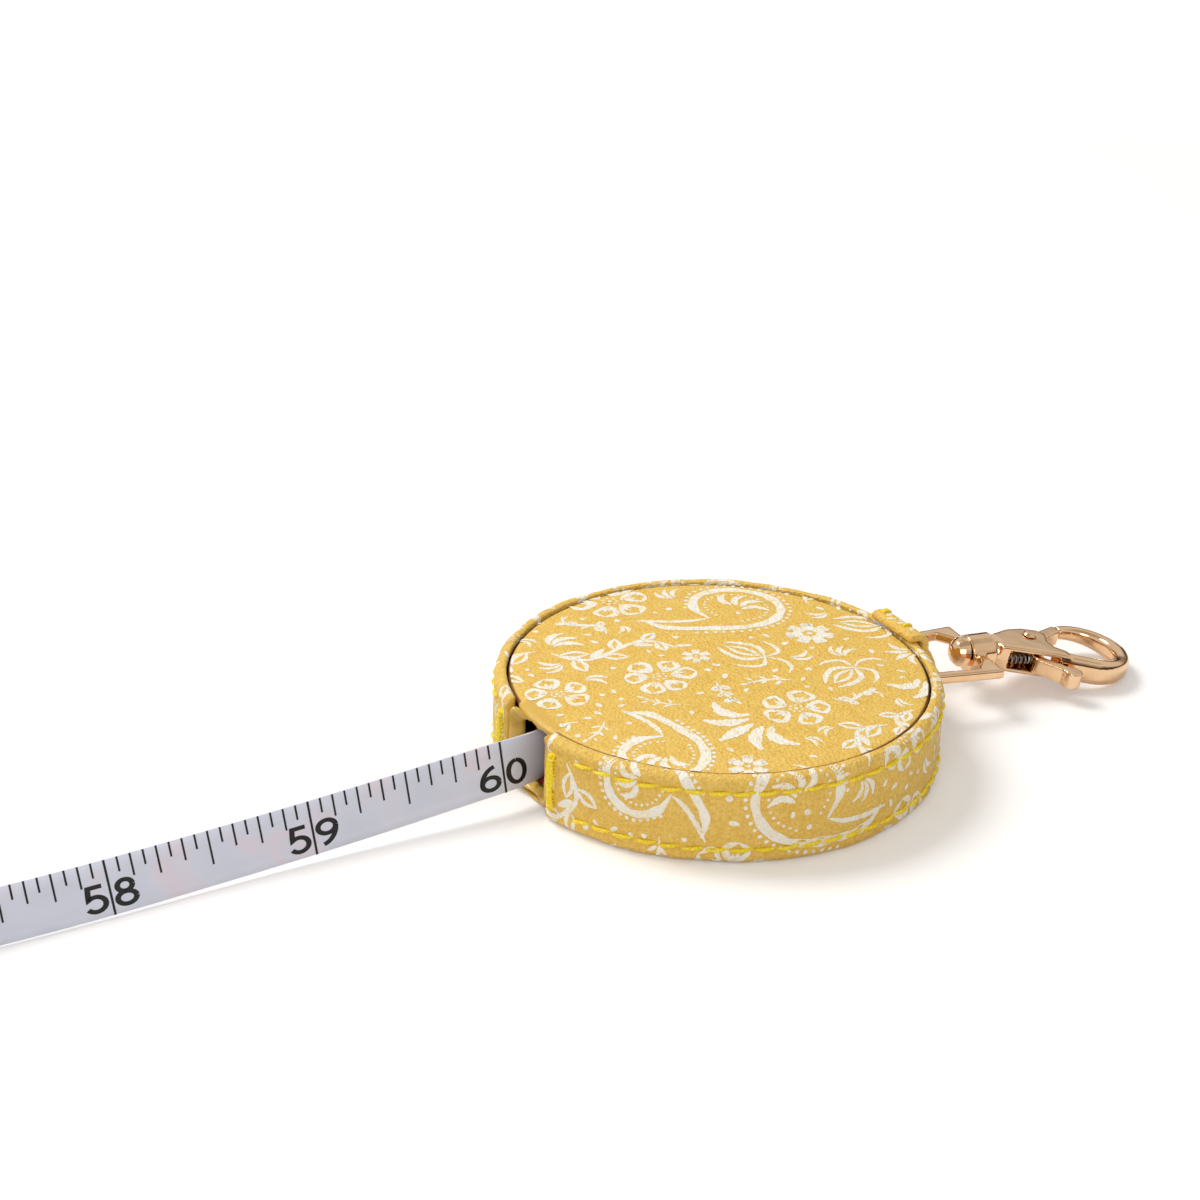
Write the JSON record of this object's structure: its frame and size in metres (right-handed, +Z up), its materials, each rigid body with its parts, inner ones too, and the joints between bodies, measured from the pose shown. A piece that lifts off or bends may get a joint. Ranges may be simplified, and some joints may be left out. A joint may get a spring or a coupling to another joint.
{
  "type": "retractable sewing tape measure with snap hook",
  "caption": "Round leather-covered retractable tape measure, its tape pulled out and coiled, with a strap loop, a ring and a swivel snap hook.",
  "frame": {"origin": "middle of the case's bottom cover, on the surface that the case rests on", "axes": "+Z up, square to the case's faces; +X from the case's middle to the strap and hook; the tape leaves the slot towards -X"},
  "size_m": [0.2307, 0.1062, 0.0126],
  "materials": {
    "leather": "printed, fine pebble grain, satin",
    "vinyl": "smooth, semi gloss",
    "case_plastic": "moulded, semi gloss",
    "spool_plastic": "moulded, matt",
    "tape": "coated, satin, printed scale",
    "steel": "bright",
    "rose_gold": "plated, polished",
    "foam": "open cell",
    "rubber": "matt"
  },
  "bodies": {
    "case": {"side_band": "leather", "top_cover": "leather", "bottom_cover": "leather", "top_pad": "foam", "slot_lining": "vinyl", "strap_tab": "leather", "upper_shell": "case_plastic", "lower_shell": "case_plastic", "mainspring": "steel", "button_spring": "steel"},
    "spool": {"spool": "spool_plastic", "tape_wraps": "tape"},
    "button": {"push_button": "case_plastic", "brake_washer": "rubber"},
    "tape": {"tape_run": "tape", "tape_coil": "tape", "tape_end_tab": "steel", "tape_tab_rivet": "steel"},
    "ring": {"hook_ring": "rose_gold"},
    "hook": {"swivel_post": "rose_gold", "hook_body": "rose_gold", "lever_rivet": "rose_gold", "trigger_spring": "steel"},
    "trigger": {"trigger_lever": "rose_gold"}
  },
  "joints": [
    {"name": "tape_pull", "type": "slide", "parent": "case", "child": "tape", "axis": [-0.9318, -0.363, 0], "range_m": [-0.006, 0]},
    {"name": "spool_spin", "type": "hinge", "parent": "case", "child": "spool", "pos_m": [0, 0, 0.0055], "axis": [0, 0, 1], "range_deg": [-36, 0]},
    {"name": "button_press", "type": "slide", "parent": "case", "child": "button", "axis": [0, 0, -1], "range_m": [0, 0.001], "stiffness_N_per_m": 400, "deforming": ["button_spring"]},
    {"name": "ring_swing", "type": "hinge", "parent": "case", "child": "ring", "pos_m": [0.0297, 0.00007, 0.00623], "axis": [0.1045, 0.9945, 0], "range_deg": [-90, 70]},
    {"name": "hook_swivel", "type": "hinge", "parent": "ring", "child": "hook", "pos_m": [0.03984, -0.00099, 0.00579], "axis": [0.9788, -0.1029, -0.1771], "continuous": true},
    {"name": "trigger_open", "type": "hinge", "parent": "hook", "child": "trigger", "pos_m": [0.0484, -0.00069, 0.00436], "axis": [-0.1672, 0.0982, -0.981], "range_deg": [0, 25], "stiffness_Nm_per_rad": 0.02, "deforming": ["trigger_spring"]}
  ],
  "couplings": [
    {"joint": "spool_spin", "follows": "tape_pull", "rad_per_m": 102.56}
  ]
}
